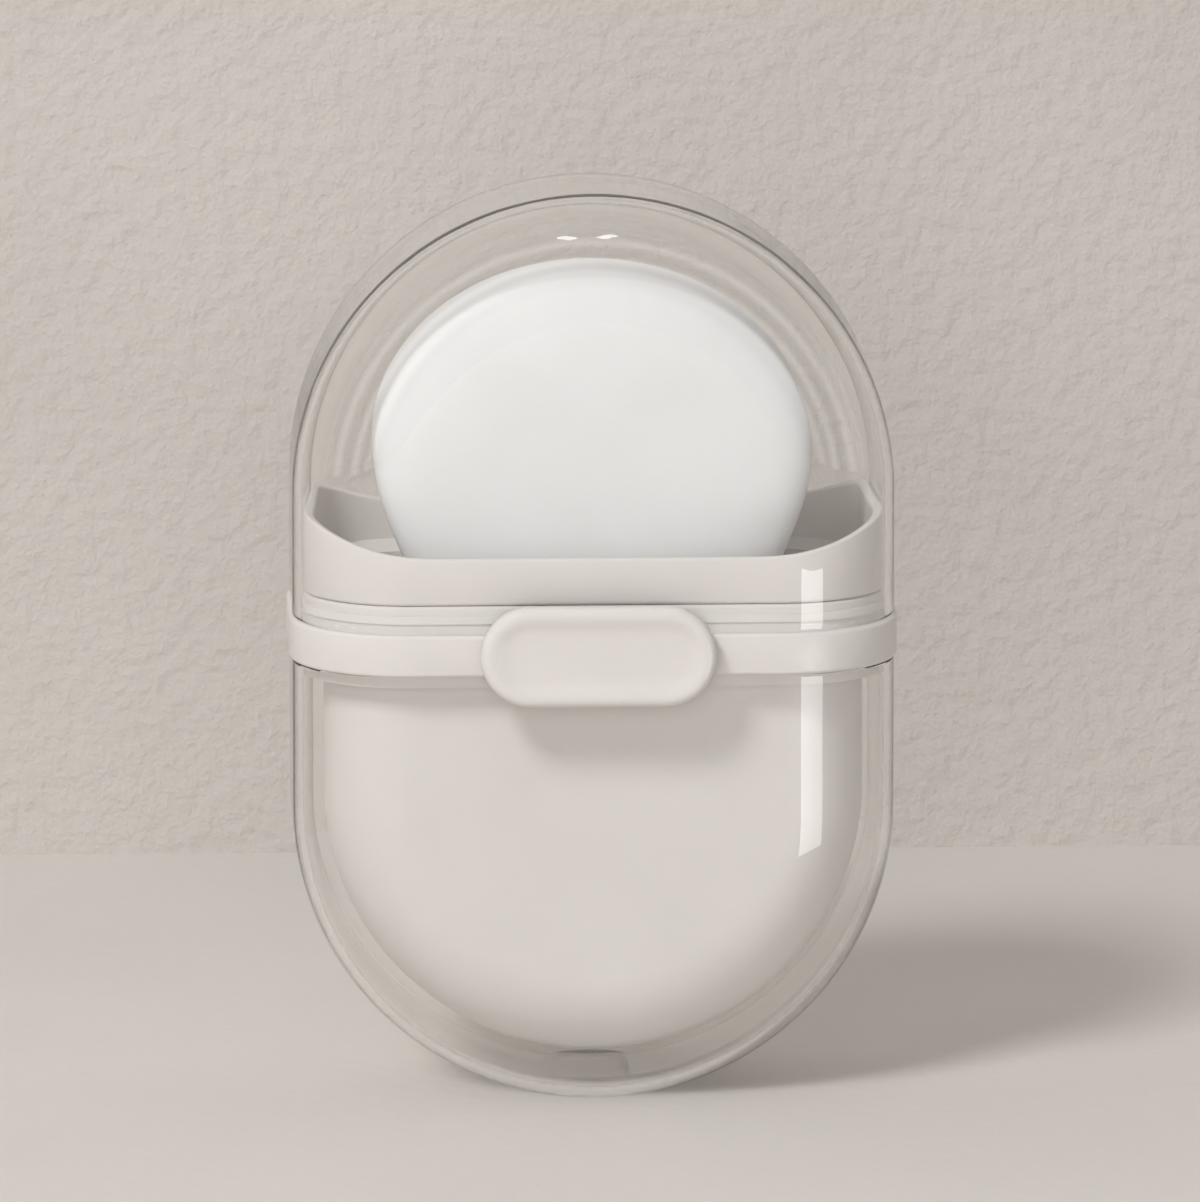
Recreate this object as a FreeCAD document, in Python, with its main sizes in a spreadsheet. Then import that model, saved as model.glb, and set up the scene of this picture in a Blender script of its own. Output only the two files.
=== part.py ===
import FreeCAD, Part
import math
import os
import re

import Sketcher

Vector = FreeCAD.Vector

# Driving sizes in millimetres, or plain counts: name, value, what it measures
SIZES = [
    ("body_width", 75, "width across the clear shells"),
    ("body_depth", 44, "depth across the clear shells"),
    ("cup_height", 55.9, "height of the cup, from the foot to the belt"),
    ("lid_height", 52.75, "height of the lid, from its lower edge to its top"),
    ("edge_round", 14.5, "rounding of the shells' front and back edges"),
    ("foot_width", 10, "width of the flat that the cup stands on"),
    ("lid_wall", 1.2, "wall of the lid"),
    ("cup_wall", 1.3, "wall of the cup"),
    ("lip_round", 0.3, "rounding of the shells' open edges"),
    ("belt_height", 5.3, "height of the belt"),
    ("belt_proud", 0.35, "how far the belt stands out of the shells"),
    ("belt_round", 0.5, "rounding of the belt's outer edges"),
    ("neck_height", 3.4, "height of the neck above the belt"),
    ("neck_wall", 2.1, "wall of the neck"),
    ("spigot_depth", 1.5, "how far the belt reaches down into the cup"),
    ("lid_fit", 0.3, "gap between the lid's wall and the neck"),
    ("cup_fit", 0.1, "gap between the cup's wall and the spigot"),
    ("liner_fit", 0.3, "gap between the liner and the neck's bore"),
    ("seat_gap", 0.05, "gap under a piece that lifts off its seat"),
    ("seal_level", 1.2, "height of the seal's lower edge above the belt"),
    ("seal_height", 1, "height of the seal"),
    ("seal_depth", 0.6, "depth of the seal's groove in the neck"),
    ("seal_fit", 0.1, "gap between the seal and the lid's wall"),
    ("liner_wall", 1.2, "wall of the liner"),
    ("flange_height", 1.2, "height of the liner's flange"),
    ("sump_height", 4.9, "room for water between the cup's floor and the liner"),
    ("rim_height", 4.6, "front rim of the liner above its flange"),
    ("rim_rise", 4.6, "side rim of the liner above its front rim"),
    ("scoop_width", 37, "width of the level part of the front rim"),
    ("slot_width", 3, "width of a drain slot"),
    ("slot_length", 17, "length of a drain slot"),
    ("slot_pitch", 7, "distance between drain slots"),
    ("slot_count", 5, "number of drain slots"),
    ("rib_width", 1.4, "width of a rib under the soap"),
    ("rib_height", 1.6, "height of a rib above the liner's floor"),
    ("rib_length", 22, "length of a rib"),
    ("soap_gap", 5.4, "room between the soap bar and the liner's wall"),
    ("soap_headroom", 9.1, "room between the soap bar and the top of the lid's inside"),
    ("soap_side", 4, "flat side of the soap bar between its rounded edges"),
    ("button_width", 29.2, "width of the push button"),
    ("button_height", 12.6, "height of the push button"),
    ("button_thick", 2.1, "thickness of the push button"),
    ("button_round", 1.1, "rounding of the push button's front edge"),
    ("button_back_round", 0.4, "rounding of the push button's back edge"),
    ("button_wall", 1.2, "wall round the push button's hollow back"),
    ("button_hollow", 0.7, "depth of the push button's hollow back"),
    ("button_raise", 0.3, "height of the push button's middle above the belt's middle"),
    ("button_travel", 1, "travel of the push button"),
    ("press_gap", 0.15, "gap left behind the pressed button"),
    ("dish_margin", 2, "width of the raised rim round the button's dished face"),
    ("dish_depth", 0.5, "depth of the dished face"),
    ("dish_round", 0.35, "rounding of the dish's edges"),
    ("boss_width", 26, "width of the latch housing on the belt"),
    ("boss_proud", 0.65, "how far the latch housing stands out of the belt"),
    ("boss_root", 1, "how far the latch housing reaches into the belt"),
    ("tongue_width", 10, "width of the lid's latch tongue"),
    ("tongue_root", 1.2, "overlap of the tongue with the lid's wall"),
    ("tongue_round", 0.8, "rounding of the tongue's lower corners"),
    ("tongue_fit", 0.15, "gap in front of and behind the tongue"),
    ("slide_fit", 0.3, "gap beside and under the sliding latch pieces"),
    ("slot_floor", 0.9, "floor of the tongue's slot above the belt's lower edge"),
    ("sill_height", 1.3, "bar under the window in the tongue"),
    ("window_width", 6.4, "width of the window in the tongue"),
    ("window_height", 1.8, "height of the window in the tongue"),
    ("nose_width", 5.4, "width of the slider's nose"),
    ("nose_height", 1.3, "height of the slider's nose"),
    ("nose_bite", 0.5, "how far the nose reaches into the tongue's window"),
    ("nose_chamfer", 0.6, "slope on top of the nose, which the tongue snaps past"),
    ("latch_play", 0.1, "gap between the nose and the sill under it"),
    ("bar_height", 3, "height of the slider's cross bar"),
    ("bar_thick", 0.9, "thickness of the slider's cross bar"),
    ("bar_overhang", 1.2, "cross bar beyond each prong"),
    ("prong_width", 2, "width of a prong of the slider"),
    ("prong_height", 2.4, "height of a prong of the slider"),
    ("prong_web", 0.8, "wall between the tongue's slot and a prong's window"),
    ("spring_web", 0.5, "wall between a prong's window and a spring's pocket"),
    ("spring_radius", 1.15, "middle radius of a button spring's coil"),
    ("spring_wire", 0.3, "wire of a button spring"),
    ("spring_fit", 0.15, "gap between a spring and its pocket"),
    ("spring_pocket", 2.1, "depth of a spring's pocket in the latch housing"),
    ("spring_turns", 3, "turns of a button spring"),
]
NAMES = {name for name, value, meaning in SIZES}

# Numbers of the method, not of the object
NEAR = 0.0001
HALF_TURN = math.pi
ARCS_PER_TURN = 4

# Sizes that follow from the driving ones, as formulas for the sheet
END_RADIUS = "(body_width / 2)"
HALF_DEPTH = "(body_depth / 2)"
FOOT_TRIM = f"({END_RADIUS} - sqrt({END_RADIUS}^2 - (foot_width / 2)^2))"
CUP_CENTRE = f"({END_RADIUS} - {FOOT_TRIM})"
BELT_TOP = "(cup_height + belt_height)"
BELT_MIDDLE = "(cup_height + belt_height / 2)"
NECK_TOP = f"({BELT_TOP} + neck_height)"
NECK_INSET = "(lid_wall + lid_fit)"
BORE_INSET = f"({NECK_INSET} + neck_wall)"
GROOVE_INSET = f"({NECK_INSET} + seal_depth)"
SEAL_LOW = f"({BELT_TOP} + seal_level)"
LID_BOTTOM = f"({BELT_TOP} + seat_gap)"
LID_TOP = f"({LID_BOTTOM} + lid_height)"
LID_CENTRE = f"({LID_TOP} - {END_RADIUS})"

LINER_INSET = f"({BORE_INSET} + liner_fit)"
LINER_HALF = f"({END_RADIUS} - {LINER_INSET})"
LINER_LOW = f"(cup_wall - {FOOT_TRIM} + sump_height)"
LINER_CENTRE = f"({LINER_LOW} + {LINER_HALF})"
FLANGE_LOW = f"({NECK_TOP} + seat_gap)"
FRONT_RIM = f"({FLANGE_LOW} + flange_height + rim_height)"
SIDE_RIM = f"({FRONT_RIM} + rim_rise)"
SCOOP_RUN = f"({LINER_HALF} - scoop_width / 2)"
SCOOP_RADIUS = f"(({SCOOP_RUN}^2 + rim_rise^2) / (4 * rim_rise))"

SOAP_HALF = f"({LINER_HALF} - liner_wall - soap_gap)"
SOAP_THICK = f"(body_depth - 2 * ({LINER_INSET} + liner_wall + soap_gap))"
SOAP_TOP = f"({LID_TOP} - lid_wall - soap_headroom)"

BUTTON_LEVEL = f"({BELT_MIDDLE} + button_raise)"
BUTTON_BACK = f"({HALF_DEPTH} + belt_proud + button_travel + press_gap)"
BUTTON_FRONT = f"({BUTTON_BACK} + button_thick)"
BUTTON_CEILING = f"({BUTTON_BACK} + button_hollow)"
BOSS_FRONT = f"({HALF_DEPTH} + belt_proud + boss_proud)"
SLOT_LOW = "(cup_height + slot_floor)"
TONGUE_LOW = f"({SLOT_LOW} + slide_fit)"
WINDOW_LOW = f"({TONGUE_LOW} + sill_height)"
NOSE_LOW = f"({WINDOW_LOW} + latch_play)"
SLOT_BACK = f"({HALF_DEPTH} - lid_wall - tongue_fit)"
BAR_FRONT = f"({SLOT_BACK} - tongue_fit)"
PRONG_NEAR = "(tongue_width / 2 + 2 * slide_fit + prong_web)"
PRONG_FAR = f"({PRONG_NEAR} + prong_width)"
BAR_HALF = f"({PRONG_FAR} + bar_overhang)"
POCKET_RADIUS = "(spring_radius + spring_wire / 2 + spring_fit)"
SPRING_PLACE = f"({PRONG_FAR} + slide_fit + spring_web + {POCKET_RADIUS})"
SPRING_SEAT = f"({BOSS_FRONT} - spring_pocket)"

doc = FreeCAD.newDocument("travel_soap_box")


def make_sheet():
    """The spreadsheet with one row for each driving size."""
    table = doc.addObject("Spreadsheet::Sheet", "sizes")
    for row, (name, value, meaning) in enumerate(SIZES, start=1):
        table.set(f"A{row}", name)
        table.set(f"B{row}", str(value))
        table.setAlias(f"B{row}", name)
        table.set(f"C{row}", meaning)
    doc.recompute()
    return table


sheet = make_sheet()


def formula(text):
    """The text with each size's name pointing into the sheet."""
    return re.sub(r"[a-z_]+", lambda word: f"sizes.{word[0]}" if word[0] in NAMES else word[0], text)


def value(text):
    return float(sheet.evalExpression(formula(text)))


def bind(thing, name, text):
    thing.setExpression(name, formula(text))


# Bodies, sketches and features


def new_body(name):
    body = doc.addObject("PartDesign::Body", name)
    body.Label = name
    return body


def attach(body, name, role, offset):
    """A sketch on one of the body's own planes, moved along the plane's normal."""
    sketch = body.newObject("Sketcher::SketchObject", name)
    sketch.AttachmentSupport = [(next(f for f in body.Origin.OriginFeatures if f.Role == role), "")]
    sketch.MapMode = "FlatFace"
    bind(sketch, "AttachmentOffset.Base.z", offset)
    return sketch


def upright(body, name, depth="0"):
    """A sketch seen from the front, its plane the given depth in front of the middle."""
    return attach(body, name, "XZ_Plane", depth)


def level(body, name, height):
    """A sketch seen from above, its plane at the given height."""
    return attach(body, name, "XY_Plane", height)


def limit(sketch, kind, *where, to):
    """A dimension of the sketch, bound to a formula."""
    number = sketch.addConstraint(Sketcher.Constraint(kind, *where, value(to)))
    bind(sketch, f"Constraints[{number}]", to)


def hold(sketch, kind, *where):
    sketch.addConstraint(Sketcher.Constraint(kind, *where))


def line(sketch, start, end):
    return sketch.addGeometry(Part.LineSegment(Vector(*start, 0), Vector(*end, 0)))


def arc(sketch, centre, radius, start, end):
    circle = Part.Circle(Vector(*centre, 0), Vector(0, 0, 1), radius)
    return sketch.addGeometry(Part.ArcOfCircle(circle, start, end))


def feature(body, kind, name, **links):
    made = body.newObject(f"PartDesign::{kind}", name)
    for link, target in links.items():
        setattr(made, link, target)
    return made


def pad(body, sketch, length, back=False, both=False):
    made = feature(body, "Pad", f"{sketch.Name}_pad", Profile=sketch, Reversed=back)
    made.SideType = "Symmetric" if both else "One side"
    bind(made, "Length", length)
    doc.recompute()
    return made


def pocket(body, sketch, length=None, back=False, both=False):
    """A cut of the given length, or right through; it has to take material away."""
    before = body.Shape.Volume
    made = feature(body, "Pocket", f"{sketch.Name}_cut", Profile=sketch, Reversed=back)
    made.SideType = "Symmetric" if both else "One side"
    if length is None:
        made.Type = "ThroughAll"
    else:
        bind(made, "Length", length)
    doc.recompute()
    if body.Shape.Volume > before - NEAR:
        raise ValueError(f"{made.Name} cuts nothing")
    return made


def edges(thing, test):
    """Names of the edges whose middle passes the test."""
    found = []
    for number, edge in enumerate(thing.Shape.Edges, start=1):
        if test(edge.valueAt((edge.FirstParameter + edge.LastParameter) / 2)):
            found.append(f"Edge{number}")
    return found


def fillet(body, base, test, radius, name):
    made = feature(body, "Fillet", name, Base=(base, edges(base, test)))
    bind(made, "Radius", radius)
    doc.recompute()
    return made


def hollow(body, base, height, wall, name):
    """Leave a wall, open at the face that lies at the given height."""
    opened = [
        f"Face{number}"
        for number, face in enumerate(base.Shape.Faces, start=1)
        if all(abs(v.Point.z - value(height)) < NEAR for v in face.Vertexes)
    ]
    made = feature(body, "Thickness", name, Base=(base, opened), Reversed=True, Join="Intersection")
    bind(made, "Value", wall)
    doc.recompute()
    return made


def at_height(height):
    return lambda point: abs(point.z - value(height)) < NEAR


def at_depth(depth):
    return lambda point: abs(point.y + value(depth)) < NEAR


# Outlines


def arch(sketch, half, flat, centre):
    """A straight edge, two upright sides and a half circle about the given centre height."""
    radius, low, middle = value(half), value(flat), value(centre)
    turn = 1 if middle > low else -1
    first = 0 if turn > 0 else HALF_TURN
    edge = line(sketch, (-turn * radius, low), (turn * radius, low))
    near = line(sketch, (turn * radius, low), (turn * radius, middle))
    bow = arc(sketch, (0, middle), radius, first, first + HALF_TURN)
    far = line(sketch, (-turn * radius, middle), (-turn * radius, low))
    hold(sketch, "Coincident", edge, 2, near, 1)
    hold(sketch, "Tangent", near, 2, bow, 1)
    hold(sketch, "Tangent", bow, 2, far, 1)
    hold(sketch, "Coincident", far, 2, edge, 1)
    hold(sketch, "Horizontal", edge)
    hold(sketch, "Vertical", near)
    hold(sketch, "Vertical", far)
    hold(sketch, "PointOnObject", bow, 3, -2)
    limit(sketch, "Radius", bow, to=half)
    limit(sketch, "DistanceY", -1, 1, edge, 1, to=flat)
    limit(sketch, "DistanceY", -1, 1, bow, 3, to=centre)


def rounded_plan(sketch, inset):
    """The capsule's section seen from above, drawn in by the inset."""
    across, along = f"body_width - 2 * {inset}", f"body_depth - 2 * {inset}"
    corner = f"edge_round - {inset}"
    x, y, radius = value(across) / 2, value(along) / 2, value(corner)
    inner_x, inner_y = x - radius, y - radius
    front = line(sketch, (-inner_x, -y), (inner_x, -y))
    front_right = arc(sketch, (inner_x, -inner_y), radius, 3 * HALF_TURN / 2, 2 * HALF_TURN)
    right = line(sketch, (x, -inner_y), (x, inner_y))
    back_right = arc(sketch, (inner_x, inner_y), radius, 0, HALF_TURN / 2)
    back = line(sketch, (inner_x, y), (-inner_x, y))
    back_left = arc(sketch, (-inner_x, inner_y), radius, HALF_TURN / 2, HALF_TURN)
    left = line(sketch, (-x, inner_y), (-x, -inner_y))
    front_left = arc(sketch, (-inner_x, -inner_y), radius, HALF_TURN, 3 * HALF_TURN / 2)
    loop = [front, front_right, right, back_right, back, back_left, left, front_left]
    for here, after in zip(loop, loop[1:] + loop[:1]):
        hold(sketch, "Tangent", here, 2, after, 1)
    hold(sketch, "Horizontal", front)
    hold(sketch, "Horizontal", back)
    hold(sketch, "Vertical", right)
    hold(sketch, "Vertical", left)
    for other in (back_right, back_left, front_left):
        hold(sketch, "Equal", front_right, other)
    hold(sketch, "Symmetric", front_right, 3, back_left, 3, -1, 1)
    limit(sketch, "Radius", front_right, to=corner)
    limit(sketch, "DistanceX", left, 1, right, 1, to=across)
    limit(sketch, "DistanceY", front, 1, back, 2, to=along)


def pill(sketch, width, height, middle):
    """A pill lying across, centred on the upright axis at the given height."""
    reach_text = f"(({width}) - ({height})) / 2"
    radius, reach, rise = value(height) / 2, value(reach_text), value(middle)
    low = line(sketch, (-reach, rise - radius), (reach, rise - radius))
    right = arc(sketch, (reach, rise), radius, -HALF_TURN / 2, HALF_TURN / 2)
    high = line(sketch, (reach, rise + radius), (-reach, rise + radius))
    left = arc(sketch, (-reach, rise), radius, HALF_TURN / 2, 3 * HALF_TURN / 2)
    loop = [low, right, high, left]
    for here, after in zip(loop, loop[1:] + loop[:1]):
        hold(sketch, "Tangent", here, 2, after, 1)
    hold(sketch, "Horizontal", low)
    hold(sketch, "Equal", right, left)
    limit(sketch, "Radius", right, to=f"({height}) / 2")
    limit(sketch, "DistanceX", -1, 1, right, 3, to=reach_text)
    limit(sketch, "DistanceX", left, 3, -1, 1, to=reach_text)
    limit(sketch, "DistanceY", -1, 1, right, 3, to=middle)


def slot(sketch, place, width, length):
    """A slot that runs front to back, with round ends, left of the middle by the given place."""
    x, radius, reach = -value(place), value(width) / 2, (value(length) - value(width)) / 2
    right = line(sketch, (x + radius, -reach), (x + radius, reach))
    back = arc(sketch, (x, reach), radius, 0, HALF_TURN)
    left = line(sketch, (x - radius, reach), (x - radius, -reach))
    front = arc(sketch, (x, -reach), radius, HALF_TURN, 2 * HALF_TURN)
    loop = [right, back, left, front]
    for here, after in zip(loop, loop[1:] + loop[:1]):
        hold(sketch, "Tangent", here, 2, after, 1)
    hold(sketch, "Vertical", right)
    hold(sketch, "Equal", back, front)
    limit(sketch, "Radius", back, to=f"{width} / 2")
    limit(sketch, "DistanceX", back, 3, -1, 1, to=place)
    limit(sketch, "DistanceY", -1, 1, back, 3, to=f"({length} - {width}) / 2")
    limit(sketch, "DistanceY", front, 3, -1, 1, to=f"({length} - {width}) / 2")


def oblong(sketch, near, far, low, high, side=1):
    """A rectangle between two distances from the upright axis and two heights."""
    x0, x1, z0, z1 = side * value(near), side * value(far), value(low), value(high)
    bottom = line(sketch, (x0, z0), (x1, z0))
    outer = line(sketch, (x1, z0), (x1, z1))
    top = line(sketch, (x1, z1), (x0, z1))
    inner = line(sketch, (x0, z1), (x0, z0))
    loop = [bottom, outer, top, inner]
    for here, after in zip(loop, loop[1:] + loop[:1]):
        hold(sketch, "Coincident", here, 2, after, 1)
    hold(sketch, "Horizontal", bottom)
    hold(sketch, "Vertical", outer)
    hold(sketch, "Horizontal", top)
    hold(sketch, "Vertical", inner)
    for point, distance in ((1, near), (2, far)):
        ends = (-1, 1, bottom, point) if side > 0 else (bottom, point, -1, 1)
        limit(sketch, "DistanceX", *ends, to=distance)
    limit(sketch, "DistanceY", -1, 1, bottom, 1, to=low)
    limit(sketch, "DistanceY", -1, 1, top, 1, to=high)


def middle_oblong(sketch, width, low, high):
    """A rectangle centred on the upright axis."""
    half, z0, z1 = value(width) / 2, value(low), value(high)
    bottom = line(sketch, (-half, z0), (half, z0))
    right = line(sketch, (half, z0), (half, z1))
    top = line(sketch, (half, z1), (-half, z1))
    left = line(sketch, (-half, z1), (-half, z0))
    loop = [bottom, right, top, left]
    for here, after in zip(loop, loop[1:] + loop[:1]):
        hold(sketch, "Coincident", here, 2, after, 1)
    hold(sketch, "Symmetric", bottom, 1, bottom, 2, -2)
    hold(sketch, "Vertical", right)
    hold(sketch, "Horizontal", top)
    hold(sketch, "Vertical", left)
    limit(sketch, "DistanceX", bottom, 1, bottom, 2, to=width)
    limit(sketch, "DistanceY", -1, 1, bottom, 1, to=low)
    limit(sketch, "DistanceY", -1, 1, top, 1, to=high)


def round_spot(sketch, place, height, radius, side):
    spot = sketch.addGeometry(
        Part.Circle(Vector(side * value(place), value(height), 0), Vector(0, 0, 1), value(radius))
    )
    ends = (-1, 1, spot, 3) if side > 0 else (spot, 3, -1, 1)
    limit(sketch, "DistanceX", *ends, to=place)
    limit(sketch, "DistanceY", -1, 1, spot, 3, to=height)
    limit(sketch, "Radius", spot, to=radius)


def scoop_outline(sketch):
    """All above the liner's rim: level in the middle, with a double curve up to each side."""
    flat, run, rise = value("scoop_width") / 2, value(SCOOP_RUN), value("rim_rise")
    low, radius = value(FRONT_RIM), value(SCOOP_RADIUS)
    side, high = flat + run, value(SIDE_RIM) + rise
    sweep = math.asin(run / 2 / radius)
    down, up = -HALF_TURN / 2, HALF_TURN / 2
    rim = line(sketch, (-flat, low), (flat, low))
    right_low = arc(sketch, (flat, low + radius), radius, down, down + sweep)
    right_high = arc(sketch, (side, low + rise - radius), radius, up, up + sweep)
    right = line(sketch, (side, low + rise), (side, high))
    top = line(sketch, (side, high), (-side, high))
    left = line(sketch, (-side, high), (-side, low + rise))
    left_high = arc(sketch, (-side, low + rise - radius), radius, up - sweep, up)
    left_low = arc(sketch, (-flat, low + radius), radius, down - sweep, down)
    hold(sketch, "Symmetric", rim, 1, rim, 2, -2)
    hold(sketch, "Tangent", rim, 2, right_low, 1)
    hold(sketch, "Tangent", right_low, 2, right_high, 2)
    hold(sketch, "Coincident", right_high, 1, right, 1)
    hold(sketch, "Coincident", right, 2, top, 1)
    hold(sketch, "Coincident", top, 2, left, 1)
    hold(sketch, "Coincident", left, 2, left_high, 2)
    hold(sketch, "Tangent", left_high, 1, left_low, 1)
    hold(sketch, "Tangent", left_low, 2, rim, 1)
    hold(sketch, "Vertical", right)
    hold(sketch, "Horizontal", top)
    hold(sketch, "Vertical", left)
    hold(sketch, "Vertical", right_high, 1, right_high, 3)
    hold(sketch, "Vertical", left_high, 2, left_high, 3)
    for bend in (right_low, right_high, left_low, left_high):
        limit(sketch, "Radius", bend, to=SCOOP_RADIUS)
    limit(sketch, "DistanceX", rim, 1, rim, 2, to="scoop_width")
    limit(sketch, "DistanceX", -1, 1, right, 1, to=LINER_HALF)
    limit(sketch, "DistanceX", left, 2, -1, 1, to=LINER_HALF)
    limit(sketch, "DistanceY", -1, 1, rim, 1, to=FRONT_RIM)
    limit(sketch, "DistanceY", -1, 1, top, 1, to=f"{SIDE_RIM} + rim_rise")


def ring(body, name, height, outer, inner, length):
    """A band round the capsule between two insets."""
    sketch = level(body, name, height)
    rounded_plan(sketch, outer)
    rounded_plan(sketch, inner)
    return pad(body, sketch, length)


def capsule_end(body, half, flat, centre, inset, name):
    """Half of the capsule, solid, with its front and back edges rounded."""
    depth = f"{HALF_DEPTH} - {inset}"
    sketch = upright(body, f"{name}_outline")
    arch(sketch, half, flat, centre)
    block = pad(body, sketch, f"2 * ({depth})", both=True)

    def outer_edge(point):
        return abs(abs(point.y) - value(depth)) < NEAR and abs(point.z - value(flat)) > NEAR

    return fillet(body, block, outer_edge, f"edge_round - {inset}", f"{name}_edges")


# The clear shells


def make_lid():
    body = new_body("lid_shell")
    block = capsule_end(body, END_RADIUS, LID_BOTTOM, LID_CENTRE, "0", "lid")
    shell = hollow(body, block, LID_BOTTOM, "lid_wall", "lid_hollow")
    fillet(body, shell, at_height(LID_BOTTOM), "lip_round", "lid_lip")
    sketch = upright(body, "tongue", HALF_DEPTH)
    middle_oblong(sketch, "tongue_width", TONGUE_LOW, f"{LID_BOTTOM} + tongue_root")
    tongue = pad(body, sketch, "lid_wall", back=True)

    def corner(point):
        side = abs(abs(point.x) - value("tongue_width / 2")) < NEAR
        return side and abs(point.z - value(TONGUE_LOW)) < NEAR

    fillet(body, tongue, corner, "tongue_round", "tongue_corners")
    sketch = upright(body, "tongue_window", HALF_DEPTH)
    middle_oblong(sketch, "window_width", WINDOW_LOW, f"{WINDOW_LOW} + window_height")
    pocket(body, sketch, "lid_wall")
    return body


def make_cup():
    body = new_body("base_cup")
    block = capsule_end(body, END_RADIUS, "cup_height", CUP_CENTRE, "0", "cup")
    shell = hollow(body, block, "cup_height", "cup_wall", "cup_hollow")
    fillet(body, shell, at_height("cup_height"), "lip_round", "cup_lip")
    sketch = level(body, "foot", "0")
    middle_oblong(sketch, "body_width", f"-{HALF_DEPTH}", HALF_DEPTH)
    pocket(body, sketch)
    return body


# The belt, with the neck for the lid and the latch housing


def make_belt():
    body = new_body("belt_ring")
    band = ring(body, "band", "cup_height", "(-belt_proud)", BORE_INSET, "belt_height")
    outer_x, outer_y = value(f"{END_RADIUS} + belt_proud"), value(f"{HALF_DEPTH} + belt_proud")
    slack = value("belt_proud + lid_wall")

    def outer_edge(point):
        corner = value("edge_round + belt_proud")
        x = max(abs(point.x) - (outer_x - corner), 0)
        y = max(abs(point.y) - (outer_y - corner), 0)
        level_edge = at_height("cup_height")(point) or at_height(BELT_TOP)(point)
        return level_edge and math.hypot(x, y) > corner - slack

    fillet(body, band, outer_edge, "belt_round", "band_edges")
    ring(body, "neck", BELT_TOP, NECK_INSET, BORE_INSET, "neck_height")
    ring(body, "spigot", "cup_height - spigot_depth", "(cup_wall + cup_fit)", BORE_INSET, "spigot_depth")

    sketch = level(body, "groove", f"{SEAL_LOW} + seal_height")
    rounded_plan(sketch, "0")
    rounded_plan(sketch, GROOVE_INSET)
    pocket(body, sketch, "seal_height")

    sketch = upright(body, "boss", BOSS_FRONT)
    pill(sketch, "boss_width", "belt_height", BELT_MIDDLE)
    pad(body, sketch, "boss_proud + boss_root", back=True)

    sketch = upright(body, "tongue_slot", f"{HALF_DEPTH} + tongue_fit")
    middle_oblong(sketch, "tongue_width + 2 * slide_fit", SLOT_LOW, f"{BELT_TOP} + seat_gap")
    pocket(body, sketch, "lid_wall + 2 * tongue_fit")

    sketch = upright(body, "bar_room", f"{HALF_DEPTH} - {BORE_INSET} - lid_fit")
    middle_oblong(
        sketch,
        f"2 * ({BAR_HALF} + slide_fit)",
        f"{BELT_MIDDLE} - bar_height / 2 - slide_fit",
        f"{BELT_MIDDLE} + bar_height / 2 + slide_fit",
    )
    pocket(body, sketch, f"{SLOT_BACK} - ({HALF_DEPTH} - {BORE_INSET} - lid_fit)", back=True)

    sketch = upright(body, "prong_windows", BOSS_FRONT)
    for side in (-1, 1):
        oblong(
            sketch,
            f"{PRONG_NEAR} - slide_fit",
            f"{PRONG_FAR} + slide_fit",
            f"{BELT_MIDDLE} - prong_height / 2 - slide_fit",
            f"{BELT_MIDDLE} + prong_height / 2 + slide_fit",
            side,
        )
    pocket(body, sketch, f"{BOSS_FRONT} - {BAR_FRONT}")

    sketch = upright(body, "spring_pockets", BOSS_FRONT)
    for side in (-1, 1):
        round_spot(sketch, SPRING_PLACE, BELT_MIDDLE, POCKET_RADIUS, side)
    pocket(body, sketch, "spring_pocket")
    return body


def make_seal():
    body = new_body("lid_seal")
    ring(body, "seal", SEAL_LOW, "(lid_wall + seal_fit)", GROOVE_INSET, "seal_height")
    return body


# The liner and what stands in it


def rib_top(place):
    """Height of a rib's top: the liner's round floor at that place, and the rib on it."""
    return f"({LINER_CENTRE} - sqrt(({LINER_HALF} - liner_wall)^2 - ({place})^2) + rib_height)"


def make_liner():
    body = new_body("soap_liner")
    block = capsule_end(body, LINER_HALF, SIDE_RIM, LINER_CENTRE, LINER_INSET, "liner")
    hollow(body, block, SIDE_RIM, "liner_wall", "liner_hollow")
    ring(body, "flange", FLANGE_LOW, NECK_INSET, f"({LINER_INSET} + liner_wall / 2)", "flange_height")
    sketch = upright(body, "scoop")
    scoop_outline(sketch)
    pocket(body, sketch, "body_depth", both=True)

    sketch = upright(body, "ribs")
    for side in (-1, 1):
        for place in ("slot_pitch / 2", "3 * slot_pitch / 2"):
            oblong(
                sketch,
                f"{place} - rib_width / 2",
                f"{place} + rib_width / 2",
                f"{rib_top(place)} - rib_height - liner_wall / 2",
                rib_top(place),
                side,
            )
    pad(body, sketch, "rib_length", both=True)

    sketch = level(body, "drain", LINER_CENTRE)
    slot(sketch, "slot_pitch * (slot_count - 1) / 2", "slot_width", "slot_length")
    first = pocket(body, sketch)
    row = feature(body, "LinearPattern", "drain_row", Originals=[first], Direction=(sketch, ["H_Axis"]))
    bind(row, "Length", "slot_pitch * (slot_count - 1)")
    bind(row, "Occurrences", "slot_count")
    body.Tip = row
    doc.recompute()
    return body


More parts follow.
